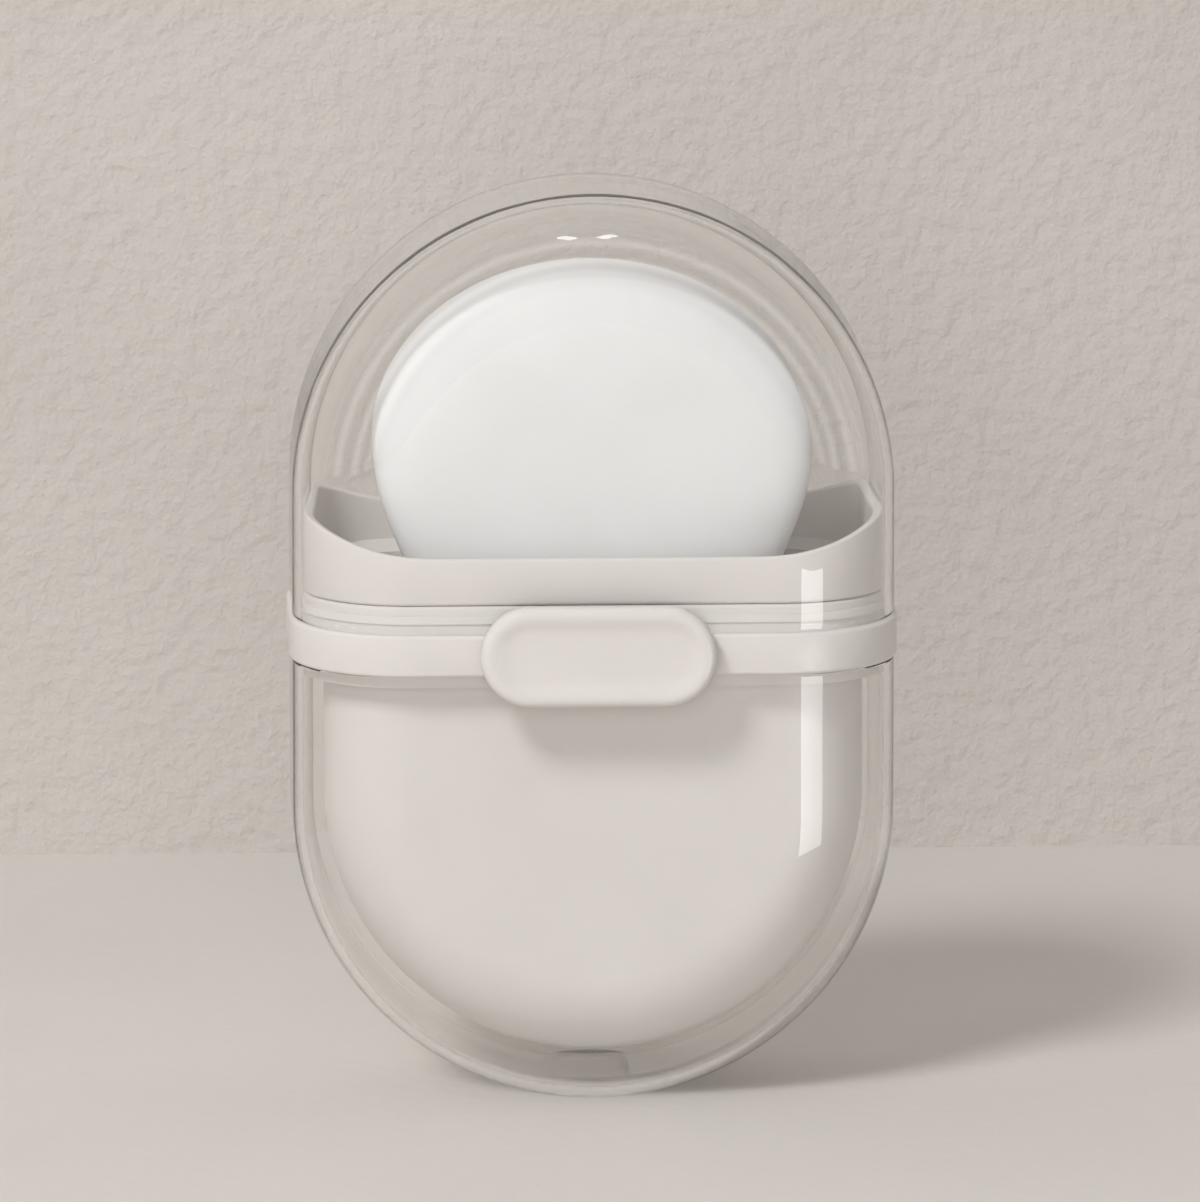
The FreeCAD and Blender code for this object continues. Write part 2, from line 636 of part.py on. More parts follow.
def make_soap():
    body = new_body("soap_bar")
    touch = "(slot_pitch / 2 - rib_width / 2)"
    foot = f"({rib_top('slot_pitch / 2')} + seat_gap - {SOAP_HALF} + sqrt({SOAP_HALF}^2 - {touch}^2))"
    low_text, high_text = f"{foot} + {SOAP_HALF}", f"{SOAP_TOP} - {SOAP_HALF}"
    half, low, high = value(SOAP_HALF), value(low_text), value(high_text)
    sketch = upright(body, "soap_outline")
    right = line(sketch, (half, low), (half, high))
    top = arc(sketch, (0, high), half, 0, HALF_TURN)
    left = line(sketch, (-half, high), (-half, low))
    bottom = arc(sketch, (0, low), half, HALF_TURN, 2 * HALF_TURN)
    loop = [right, top, left, bottom]
    for here, after in zip(loop, loop[1:] + loop[:1]):
        hold(sketch, "Tangent", here, 2, after, 1)
    hold(sketch, "Vertical", right)
    hold(sketch, "Equal", top, bottom)
    hold(sketch, "PointOnObject", top, 3, -2)
    limit(sketch, "Radius", top, to=SOAP_HALF)
    limit(sketch, "DistanceY", -1, 1, bottom, 3, to=low_text)
    limit(sketch, "DistanceY", -1, 1, top, 3, to=high_text)
    block = pad(body, sketch, SOAP_THICK, both=True)

    def face_edge(point):
        return abs(abs(point.y) - value(f"{SOAP_THICK} / 2")) < NEAR

    fillet(body, block, face_edge, f"({SOAP_THICK} - soap_side) / 2", "soap_edges")
    return body


# The button and the latch behind it


def make_button():
    body = new_body("push_button")
    sketch = upright(body, "cap", BUTTON_BACK)
    pill(sketch, "button_width", "button_height", BUTTON_LEVEL)
    cap = pad(body, sketch, "button_thick")
    cap = fillet(body, cap, at_depth(BUTTON_FRONT), "button_round", "cap_front")
    fillet(body, cap, at_depth(BUTTON_BACK), "button_back_round", "cap_back")
    sketch = upright(body, "dish", BUTTON_FRONT)
    pill(sketch, "button_width - 2 * dish_margin", "button_height - 2 * dish_margin", BUTTON_LEVEL)
    dish = pocket(body, sketch, "dish_depth")
    dish_floor = at_depth(f"{BUTTON_FRONT} - dish_depth")
    fillet(body, dish, dish_floor, "dish_round", "dish_floor")
    sketch = upright(body, "cap_hollow", BUTTON_BACK)
    pill(sketch, "button_width - 2 * button_wall", "button_height - 2 * button_wall", BUTTON_LEVEL)
    pocket(body, sketch, "button_hollow", back=True)
    return body


def make_slider():
    body = new_body("latch_slider")
    sketch = upright(body, "bar", BAR_FRONT)
    middle_oblong(
        sketch,
        f"2 * {BAR_HALF}",
        f"{BELT_MIDDLE} - bar_height / 2",
        f"{BELT_MIDDLE} + bar_height / 2",
    )
    pad(body, sketch, "bar_thick", back=True)
    sketch = upright(body, "prongs", BAR_FRONT)
    for side in (-1, 1):
        oblong(
            sketch,
            PRONG_NEAR,
            PRONG_FAR,
            f"{BELT_MIDDLE} - prong_height / 2",
            f"{BELT_MIDDLE} + prong_height / 2",
            side,
        )
    pad(body, sketch, f"{BUTTON_CEILING} - {BAR_FRONT}")
    nose_front = f"{HALF_DEPTH} - lid_wall + nose_bite"
    sketch = upright(body, "nose", BAR_FRONT)
    middle_oblong(sketch, "nose_width", NOSE_LOW, f"{NOSE_LOW} + nose_height")
    nose = pad(body, sketch, f"{nose_front} - {BAR_FRONT}")

    def upper_front(point):
        return at_depth(nose_front)(point) and at_height(f"{NOSE_LOW} + nose_height")(point)

    slope = feature(body, "Chamfer", "nose_slope", Base=(nose, edges(nose, upper_front)))
    bind(slope, "Size", "nose_chamfer")
    doc.recompute()
    return body


def bend(start, heading, end):
    """The arc that leaves start along heading and meets end."""
    chord = end - start
    along = Vector(chord).normalize()
    lean = heading.getAngle(chord)
    aside = (heading - along * heading.dot(along)).normalize()
    middle = start + chord * 0.5 + aside * (chord.Length / 2 * math.tan(lean / 2))
    return Part.Arc(start, middle, end).toShape()


def coil(radius, length, turns):
    """Edges of a helix about the Z axis, two arcs for each part of a turn, and its sample points."""
    pitch = length / turns
    climb = pitch / (2 * HALF_TURN)
    parts = round(turns * ARCS_PER_TURN)

    def point(angle):
        return Vector(radius * math.cos(angle), radius * math.sin(angle), climb * angle)

    def heading(angle):
        return Vector(-radius * math.sin(angle), radius * math.cos(angle), climb).normalize()

    made = []
    step = 2 * HALF_TURN * turns / parts
    for number in range(parts):
        first, last = number * step, (number + 1) * step
        start, end = point(first), point(last)
        start_way, end_way = heading(first), heading(last)
        chord, both = end - start, start_way + end_way
        spread = 2 * (1 - start_way.dot(end_way))
        reach = (math.sqrt(chord.dot(both) ** 2 + spread * chord.dot(chord)) - chord.dot(both)) / spread
        joint = (start + end + (start_way - end_way) * reach) * 0.5
        made.append(bend(start, start_way, joint))
        made.append(bend(end, end_way * -1, joint))
    return made


def self_gap(path, wire):
    """Least gap between neighbouring turns, measured on points along the path."""
    points = [edge.valueAt(edge.FirstParameter) for edge in path]
    turn = 2 * ARCS_PER_TURN
    apart = min((points[i + turn] - points[i]).Length for i in range(len(points) - turn))
    return apart - wire


def make_spring(name, side):
    """A coil between its pocket in the latch housing and the button's back."""
    wire, seat = value("spring_wire"), value(SPRING_SEAT)
    length = value(f"{BUTTON_CEILING} - {SPRING_SEAT} - spring_wire - 2 * seat_gap")
    path = coil(value("spring_radius"), length, value("spring_turns"))
    start = path[0].valueAt(path[0].FirstParameter)
    section = Part.Wire([Part.Circle(start, path[0].tangentAt(path[0].FirstParameter), wire / 2).toShape()])
    tube = Part.Wire(Part.__sortEdges__(path)).makePipeShell([section], True, False)
    spring = doc.addObject("Part::Feature", name)
    spring.Label = name
    spring.Shape = Part.Solid(tube) if tube.ShapeType == "Shell" else tube
    middle = Vector(side * value(SPRING_PLACE), -seat - wire / 2 - value("seat_gap"), value(BELT_MIDDLE))
    spring.Placement = FreeCAD.Placement(middle, FreeCAD.Rotation(Vector(1, 0, 0), 90))
    print(f"{name} gap between turns {self_gap(path, wire):.2f} mm")
    return spring


def write_parts(pieces):
    """Check every object, then write each piece to its own file."""
    doc.recompute()
    broken = [thing.Name for thing in doc.Objects if {"Invalid", "Error"} & set(thing.State)]
    broken += [piece.Label for piece in pieces if piece.Shape.isNull() or not piece.Shape.isValid()]
    if broken:
        raise ValueError(f"not built: {broken}")
    os.makedirs("parts", exist_ok=True)
    for piece in pieces:
        piece.Shape.exportStep(os.path.join("parts", f"{piece.Label}.step"))
        print(f"{piece.Label} {piece.Shape.Volume:.1f} mm3 in {len(piece.Shape.Solids)} solid")


write_parts(
    [
        make_lid(),
        make_cup(),
        make_belt(),
        make_seal(),
        make_liner(),
        make_soap(),
        make_button(),
        make_slider(),
        make_spring("button_spring_left", -1),
        make_spring("button_spring_right", 1),
    ]
)
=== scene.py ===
import math

import bmesh
import bpy
from bmesh.types import BMEdge, BMFace, BMVert
from mathutils import Matrix, Vector


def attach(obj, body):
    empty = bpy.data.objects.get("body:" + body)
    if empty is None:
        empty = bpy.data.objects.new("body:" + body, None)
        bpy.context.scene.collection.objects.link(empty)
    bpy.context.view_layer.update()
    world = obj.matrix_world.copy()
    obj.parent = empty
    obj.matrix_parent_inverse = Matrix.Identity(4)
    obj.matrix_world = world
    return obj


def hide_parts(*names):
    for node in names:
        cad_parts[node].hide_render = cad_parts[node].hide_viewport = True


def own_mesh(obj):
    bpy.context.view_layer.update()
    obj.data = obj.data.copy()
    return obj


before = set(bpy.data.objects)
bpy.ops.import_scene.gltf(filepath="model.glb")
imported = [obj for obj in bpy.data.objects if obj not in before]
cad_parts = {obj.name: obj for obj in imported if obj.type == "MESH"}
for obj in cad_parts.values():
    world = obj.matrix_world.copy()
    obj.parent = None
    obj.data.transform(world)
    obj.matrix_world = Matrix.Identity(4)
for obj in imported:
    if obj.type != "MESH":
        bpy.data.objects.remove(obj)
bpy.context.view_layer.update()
scene = bpy.context.scene

# Sizes of the capsule, in metres
HALF_WIDTH = 0.0375
HALF_DEPTH = 0.022
EDGE_ROUND = 0.0145
LIP_ROUND = 0.0003

# Steps and tolerances of the round shapes
CORNER_STEPS = 24
DOME_STEPS = 128
LIP_STEPS = 3
EDGE_STEPS = 4
LIFT = 0.25
SHARP = math.radians(35)

# The strip beside a bend and the overrun of a cut
EASE = 0.0004

# What counts as the same place
NEAR = 0.000001


# Drawing with one corner after another


def only(parts, kind):
    return [part for part in parts if isinstance(part, kind)]


def dot(bm, point):
    return bmesh.ops.create_vert(bm, co=point)["vert"][0]


def draw_to(bm, pen, *points):
    for point in points:
        pen = bmesh.ops.extrude_vert_indiv(bm, verts=[pen])["verts"][0]
        pen.co = point
    return pen


def draw_arc(bm, pen, centre, axis, angle, steps):
    made = bmesh.ops.spin(bm, geom=[pen], cent=centre, axis=axis, angle=angle, steps=steps)
    return only(made["geom_last"], BMVert)[0]


def half_plan(bm, inset, height, flat_steps):
    """Right half of the capsule's level section, from the middle of the front to that of the back."""
    x, y, bend = HALF_WIDTH - inset, HALF_DEPTH - inset, EDGE_ROUND - inset
    mid_x, mid_y = x - bend, y - bend
    flat = [(mid_x - EASE) * step / flat_steps for step in range(1, flat_steps + 1)] + [mid_x]
    pen = dot(bm, (0, -y, height))
    pen = draw_to(bm, pen, *[(place, -y, height) for place in flat])
    pen = draw_arc(bm, pen, (mid_x, -mid_y, height), (0, 0, 1), math.pi / 2, CORNER_STEPS)
    pen = draw_to(bm, pen, (x, EASE - mid_y, height), (x, mid_y - EASE, height), (x, mid_y, height))
    pen = draw_arc(bm, pen, (mid_x, mid_y, height), (0, 0, 1), math.pi / 2, CORNER_STEPS)
    draw_to(bm, pen, *[(place, y, height) for place in reversed(flat[:-1])], (0, y, height))


def fresh(bm, old):
    """The bmesh's corners and edges that aren't among the old ones."""
    return [part for part in bm.verts[:] + bm.edges[:] if part not in old]


def plan_loop(bm, inset, height, flat_steps=1):
    """Edges of the capsule's whole level section."""
    old = set(bm.verts[:] + bm.edges[:])
    half_plan(bm, inset, height, flat_steps)
    bmesh.ops.mirror(bm, geom=fresh(bm, old), matrix=Matrix(), merge_dist=NEAR, axis="X")
    return only(fresh(bm, old), BMEdge)


def dome(bm, inset, centre, turn, flat_steps=1):
    """Round end of the capsule, above its centre for turn -1 or below for 1. Gives its open edges."""
    old = set(bm.verts[:] + bm.edges[:])
    half_plan(bm, inset, centre, flat_steps)
    bmesh.ops.spin(
        bm, geom=fresh(bm, old), cent=(0, 0, centre), axis=(0, turn, 0), angle=math.pi, steps=DOME_STEPS
    )
    bmesh.ops.remove_doubles(bm, verts=only(fresh(bm, old), BMVert), dist=NEAR)
    return [e for e in bm.edges if e.is_boundary and e not in old]


def draw_out(bm, loop, *heights):
    """Carry an open edge straight up or down to each height in turn. Gives the last one."""
    for height in heights:
        made = bmesh.ops.extrude_edge_only(bm, edges=loop)["geom"]
        for corner in only(made, BMVert):
            corner.co.z = height
        loop = [e for e in only(made, BMEdge) if e.is_boundary]
    return loop


def bridge(bm, here, after):
    """Join two level loops; one is lifted meanwhile, because loops in one plane can be joined crosswise."""
    corners = list({v for e in after for v in e.verts})
    bmesh.ops.translate(bm, vec=(0, 0, LIFT), verts=corners)
    bmesh.ops.bridge_loops(bm, edges=here + after)
    bmesh.ops.translate(bm, vec=(0, 0, -LIFT), verts=corners)
    bmesh.ops.recalc_face_normals(bm, faces=bm.faces)


def close_and_fill(bm):
    """Join the loose ends of a drawn line and fill it with a face."""
    bmesh.ops.contextual_create(bm, geom=[v for v in bm.verts if len(v.link_edges) == 1])
    bmesh.ops.edgeloop_fill(bm, edges=bm.edges)


def pull(bm, faces, way):
    """Extrude faces by a vector. Gives the new faces."""
    made = bmesh.ops.extrude_face_region(bm, geom=faces)["geom"]
    bmesh.ops.translate(bm, vec=way, verts=only(made, BMVert))
    return only(made, BMFace)


def push(bm, faces, way):
    """Move faces by a vector, with walls left behind them. Gives the faces in their new place."""
    moved = pull(bm, faces, way)
    bmesh.ops.delete(bm, geom=[f for f in faces if f.is_valid], context="FACES_ONLY")
    return moved


def bevel(bm, chosen, width, steps):
    bmesh.ops.bevel(
        bm,
        geom=chosen,
        offset=width,
        offset_type="OFFSET",
        segments=steps,
        profile=0.5,
        affect="EDGES",
        clamp_overlap=True,
        material=-1,
    )


def on_level(part, height):
    return all(abs(corner.co.z - height) < NEAR for corner in part.verts)


# From a bmesh to a piece of the box


def new_object(name, bm):
    bmesh.ops.recalc_face_normals(bm, faces=bm.faces)
    mesh = bpy.data.meshes.new(name)
    bm.to_mesh(mesh)
    bm.free()
    thing = bpy.data.objects.new(name, mesh)
    scene.collection.objects.link(thing)
    return thing


def carve(thing, tool_bm, how):
    """Cut the tool's shape out of a piece, or join it on."""
    tool = new_object("carving_tool", tool_bm)
    change = thing.modifiers.new("carve", "BOOLEAN")
    change.operation = how
    change.solver = "EXACT"
    change.object = tool
    depsgraph = bpy.context.evaluated_depsgraph_get()
    made = bpy.data.meshes.new_from_object(thing.evaluated_get(depsgraph))
    thing.modifiers.clear()
    bpy.data.objects.remove(tool)
    thing.data = made


def fit(thing, body, material, node, sharp=SHARP):
    """Finish a piece: shading, material, and the CAD body and node it belongs to."""
    thing.data.shade_smooth()
    thing.data.set_sharp_from_angle(angle=sharp)
    thing.data.materials.clear()
    thing.data.materials.append(material)
    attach(thing, body)
    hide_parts(node)


def block(low, high):
    """A plain box between two corners, as a tool for carving."""
    bm = bmesh.new()
    bmesh.ops.create_cube(bm, size=1)
    low, high = Vector(low), Vector(high)
    bmesh.ops.scale(bm, vec=high - low, verts=bm.verts)
    bmesh.ops.translate(bm, vec=(low + high) / 2, verts=bm.verts)
    return bm


def pill_face(bm, half_width, radius, middle, depth, steps):
    """A pill-shaped face seen from the front."""
    reach = half_width - radius
    pen = dot(bm, (reach, depth, middle - radius))
    pen = draw_arc(bm, pen, (reach, depth, middle), (0, -1, 0), math.pi, steps)
    pen = draw_to(bm, pen, (-reach, depth, middle + radius))
    draw_arc(bm, pen, (-reach, depth, middle), (0, -1, 0), math.pi, steps)
    close_and_fill(bm)


# Materials


def new_material(name):
    made = bpy.data.materials.new(name)
    made.use_nodes = True
    return made, made.node_tree.nodes, made.node_tree.links


def grain(material, size, detail, low=0, high=1):
    """Noise with features of about the given size, spread between two values."""
    nodes, links = material.node_tree.nodes, material.node_tree.links
    place = nodes.new("ShaderNodeTexCoord")
    noise = nodes.new("ShaderNodeTexNoise")
    noise.inputs["Scale"].default_value = 1 / size
    noise.inputs["Detail"].default_value = detail
    spread = nodes.new("ShaderNodeMapRange")
    spread.inputs["From Min"].default_value = 0.3
    spread.inputs["From Max"].default_value = 0.7
    spread.inputs["To Min"].default_value = low
    spread.inputs["To Max"].default_value = high
    links.new(place.outputs["Object"], noise.inputs["Vector"])
    links.new(noise.outputs["Fac"], spread.inputs["Value"])
    return spread.outputs["Result"]


def tint(material, fac, first, second):
    """A colour between two, by the given factor."""
    nodes, links = material.node_tree.nodes, material.node_tree.links
    mix = nodes.new("ShaderNodeMix")
    mix.data_type = "RGBA"
    mix.inputs["A"].default_value = (*first, 1)
    mix.inputs["B"].default_value = (*second, 1)
    links.new(fac, mix.inputs["Factor"])
    return mix.outputs["Result"]


def relief(material, height, distance, strength):
    nodes, links = material.node_tree.nodes, material.node_tree.links
    bump = nodes.new("ShaderNodeBump")
    bump.inputs["Distance"].default_value = distance
    bump.inputs["Strength"].default_value = strength
    links.new(height, bump.inputs["Height"])
    return bump.outputs["Normal"]


def clear_plastic():
    """Polished clear moulding, with painted shade: its colour turns near-black where seen edge-on, to draw
    the dark lines that clear plastic shows along its edges. Light for what is inside goes straight through.
    """
    made, nodes, links = new_material("clear_plastic")
    surface = nodes["Principled BSDF"]
    surface.inputs["Transmission Weight"].default_value = 1
    surface.inputs["IOR"].default_value = 1.49
    surface.inputs["Roughness"].default_value = 0
    # Painted shade: where the surface is seen edge-on its colour is mixed towards near-black, standing in for
    # the dark edge lines.
    facing = nodes.new("ShaderNodeLayerWeight")
    facing.inputs["Blend"].default_value = 0.5
    edge = nodes.new("ShaderNodeMapRange")
    edge.inputs["From Min"].default_value = 0.85
    edge.inputs["From Max"].default_value = 0.93
    links.new(facing.outputs["Facing"], edge.inputs["Value"])
    hue = tint(made, grain(made, size=0.03, detail=2), (0.985, 0.983, 0.978), (0.995, 0.994, 0.99))
    painted_edge_shade = nodes.new("ShaderNodeMix")
    painted_edge_shade.data_type = "RGBA"
    painted_edge_shade.inputs["B"].default_value = (0.01, 0.009, 0.008, 1)
    links.new(edge.outputs["Result"], painted_edge_shade.inputs["Factor"])
    links.new(hue, painted_edge_shade.inputs["A"])
    links.new(painted_edge_shade.outputs["Result"], surface.inputs["Base Color"])
    waves = relief(made, grain(made, size=0.011, detail=2), distance=0.00004, strength=0.25)
    links.new(waves, surface.inputs["Normal"])
    see_through = nodes.new("ShaderNodeBsdfTransparent")
    see_through.inputs["Color"].default_value = (0.985, 0.985, 0.985, 1)
    path = nodes.new("ShaderNodeLightPath")
    either = nodes.new("ShaderNodeMath")
    either.operation = "MAXIMUM"
    links.new(path.outputs["Is Shadow Ray"], either.inputs[0])
    links.new(path.outputs["Is Diffuse Ray"], either.inputs[1])
    mix = nodes.new("ShaderNodeMixShader")
    links.new(either.outputs["Value"], mix.inputs["Fac"])
    links.new(surface.outputs["BSDF"], mix.inputs[1])
    links.new(see_through.outputs["BSDF"], mix.inputs[2])
    links.new(mix.outputs["Shader"], nodes["Material Output"].inputs["Surface"])
    return made


def cream_plastic():
    """Satin moulded plastic with a fine even grain."""
    made, nodes, links = new_material("cream_plastic")
    surface = nodes["Principled BSDF"]
    hue = tint(made, grain(made, size=0.012, detail=3), (0.717, 0.685, 0.655), (0.746, 0.713, 0.683))
    links.new(hue, surface.inputs["Base Color"])
    links.new(grain(made, size=0.0012, detail=3, low=0.3, high=0.44), surface.inputs["Roughness"])
    surface.inputs["IOR"].default_value = 1.5
    surface.inputs["Subsurface Weight"].default_value = 0.12
    surface.inputs["Subsurface Radius"].default_value = (1, 0.8, 0.6)
    surface.inputs["Subsurface Scale"].default_value = 0.0015
    texture = relief(made, grain(made, size=0.00035, detail=2), distance=0.00002, strength=0.35)
    links.new(texture, surface.inputs["Normal"])
    return made


def soft_silicone():
    """Pale translucent rubber."""
    made, nodes, links = new_material("soft_silicone")
    surface = nodes["Principled BSDF"]
    hue = tint(made, grain(made, size=0.006, detail=3), (0.72, 0.69, 0.65), (0.77, 0.74, 0.70))
    links.new(hue, surface.inputs["Base Color"])
    links.new(grain(made, size=0.0015, detail=3, low=0.5, high=0.68), surface.inputs["Roughness"])
    surface.inputs["Subsurface Weight"].default_value = 0.3
    surface.inputs["Subsurface Scale"].default_value = 0.001
    texture = relief(made, grain(made, size=0.0006, detail=3), distance=0.00002, strength=0.3)
    links.new(texture, surface.inputs["Normal"])
    return made


def drawn_wire():
    """Bright spring wire with fine marks from drawing."""
    made, nodes, links = new_material("drawn_wire")
    surface = nodes["Principled BSDF"]
    surface.inputs["Metallic"].default_value = 1
    hue = tint(made, grain(made, size=0.0008, detail=4), (0.58, 0.58, 0.59), (0.72, 0.72, 0.73))
    links.new(hue, surface.inputs["Base Color"])
    links.new(grain(made, size=0.0003, detail=4, low=0.2, high=0.42), surface.inputs["Roughness"])
    marks = relief(made, grain(made, size=0.00015, detail=2), distance=0.000004, strength=0.4)
    links.new(marks, surface.inputs["Normal"])
    return made


def waxy_soap():
    """White toilet soap: smooth, a little waxy, with faint clouds and a worn surface."""
    made, nodes, links = new_material("waxy_soap")
    surface = nodes["Principled BSDF"]
    hue = tint(made, grain(made, size=0.014, detail=4), (0.793, 0.791, 0.788), (0.831, 0.835, 0.837))
    links.new(hue, surface.inputs["Base Color"])
    links.new(grain(made, size=0.003, detail=4, low=0.38, high=0.55), surface.inputs["Roughness"])
    surface.inputs["Subsurface Weight"].default_value = 0.35
    surface.inputs["Subsurface Radius"].default_value = (1, 0.85, 0.7)
    surface.inputs["Subsurface Scale"].default_value = 0.003
    wear = relief(made, grain(made, size=0.005, detail=5), distance=0.00008, strength=0.3)
    links.new(wear, surface.inputs["Normal"])
    return made


CLEAR = clear_plastic()
CREAM = cream_plastic()
SOAP = waxy_soap()
WIRE = drawn_wire()


# The clear shells

LID_WALL = 0.0012
LID_LOW = 0.06125
LID_CENTRE = 0.0765
TONGUE_HALF = 0.005
TONGUE_LOW = 0.0571
TONGUE_ROUND = 0.0008
TONGUE_STEPS = 6
WINDOW_HALF = 0.0032
WINDOW_LOW = 0.0584
WINDOW_HIGH = 0.0602
CUP_WALL = 0.0013
CUP_RIM = 0.0559
FOOT_HALF = 0.005
FOOT_SHARP = math.radians(7)
CUP_CENTRE = math.sqrt(HALF_WIDTH**2 - FOOT_HALF**2)


def wall_side(bm, inset, centre, rim, turn):
    """One side of a shell's wall, from its round end to its rim. Gives the rim's edges."""
    ease = turn * EASE
    return draw_out(bm, dome(bm, inset, centre, turn), centre + ease, rim - 2 * ease, rim)


def lip_edges(bm, height):
    """Both edges of a rim: those with a face that leaves the rim's level."""
    return [e for e in bm.edges if on_level(e, height) and any(not on_level(f, height) for f in e.link_faces)]


def add_tongue(bm):
    """The lid's latch tongue, drawn down from the front of its rim, with a window for the latch's nose."""
    for place in (-TONGUE_HALF, -WINDOW_HALF, WINDOW_HALF, TONGUE_HALF):
        front = [f for f in bm.faces if on_level(f, LID_LOW) and f.calc_center_median().y < 0]
        around = {part for f in front for part in (f, *f.edges, *f.verts)}
        bmesh.ops.bisect_plane(bm, geom=list(around), plane_co=(place, 0, 0), plane_no=(1, 0, 0))

    front = [f for f in bm.faces if on_level(f, LID_LOW) and f.calc_center_median().y < 0]
    foot = [f for f in front if abs(f.calc_center_median().x) < TONGUE_HALF]
    levels = (LID_LOW, WINDOW_HIGH, WINDOW_LOW, TONGUE_LOW)
    for level, below in zip(levels, levels[1:]):
        foot = push(bm, foot, (0, 0, below - level))
    bmesh.ops.delete(bm, geom=[e for e in bm.edges if e.is_wire], context="EDGES")

    middle = Vector((0, 0, (WINDOW_LOW + WINDOW_HIGH) / 2))
    panes = []
    for f in bm.faces:
        away = f.calc_center_median() - middle
        if abs(away.z) < NEAR and abs(away.x) < WINDOW_HALF and abs(f.normal.y) > abs(f.normal.x):
            panes.append(f)
    frames = list({e for f in panes for e in f.edges})
    bmesh.ops.delete(bm, geom=panes, context="FACES")
    bmesh.ops.bridge_loops(bm, edges=[e for e in frames if e.is_valid])

    low = [e for e in bm.edges if on_level(e, TONGUE_LOW)]
    corners = [e for e in low if all(abs(abs(v.co.x) - TONGUE_HALF) < NEAR for v in e.verts)]
    bevel(bm, corners, TONGUE_ROUND, TONGUE_STEPS)


def on_tongue(edge):
    return all(abs(v.co.x) < TONGUE_HALF + NEAR and v.co.y < 0 for v in edge.verts)


def make_lid():
    bm = bmesh.new()
    outer, inner = (wall_side(bm, inset, LID_CENTRE, LID_LOW, -1) for inset in (0, LID_WALL))
    bridge(bm, outer, inner)
    add_tongue(bm)
    bevel(bm, [e for e in lip_edges(bm, LID_LOW) if not on_tongue(e)], LIP_ROUND, LIP_STEPS)
    thing = new_object("lid_clear", bm)
    fit(thing, "lid", CLEAR, "lid_shell")


def make_cup():
    bm = bmesh.new()
    outer = wall_side(bm, 0, CUP_CENTRE, CUP_RIM, 1)
    cut = bmesh.ops.bisect_plane(
        bm,
        geom=bm.verts[:] + bm.edges[:] + bm.faces[:],
        plane_co=(0, 0, 0),
        plane_no=(0, 0, -1),
        clear_outer=True,
    )
    bmesh.ops.edgeloop_fill(bm, edges=only(cut["geom_cut"], BMEdge))
    inner = wall_side(bm, CUP_WALL, CUP_CENTRE, CUP_RIM, 1)
    bridge(bm, outer, inner)
    bevel(bm, lip_edges(bm, CUP_RIM), LIP_ROUND, LIP_STEPS)
    thing = new_object("cup_clear", bm)
    fit(thing, "base", CLEAR, "base_cup", FOOT_SHARP)


# The belt

BELT_TOP = 0.0612
BELT_MIDDLE = (CUP_RIM + BELT_TOP) / 2
BELT_PROUD = 0.00035
BELT_ROUND = 0.0005
NECK_TOP = 0.0646
NECK_INSET = 0.0015
BORE_INSET = 0.0036
GROOVE_INSET = 0.0021
GROOVE_LOW = 0.0624
GROOVE_HIGH = 0.0634
SPIGOT_LOW = 0.0544
SPIGOT_INSET = 0.0014
FLANGE_ROUND = 0.00045

BOSS_HALF = 0.013
BOSS_FRONT = 0.023
BOSS_BACK = 0.02135
BOSS_STEPS = 16
SLOT_HALF = 0.0053
SLOT_LOW = 0.0568
SLOT_TOP = BELT_TOP + EASE
SLOT_FRONT = 0.02215
SLOT_BACK = 0.02065
ROOM_HALF = 0.0099
ROOM_RISE = 0.0018
ROOM_BACK = 0.0181
PRONG_NEAR = 0.0061
PRONG_FAR = 0.0087
PRONG_RISE = 0.0015
PRONG_BACK = 0.0205
POCKET_PLACE = 0.01065
POCKET_RADIUS = 0.00145
POCKET_BACK = 0.0209
POCKET_STEPS = 32
CUT_FRONT = BOSS_FRONT + EASE


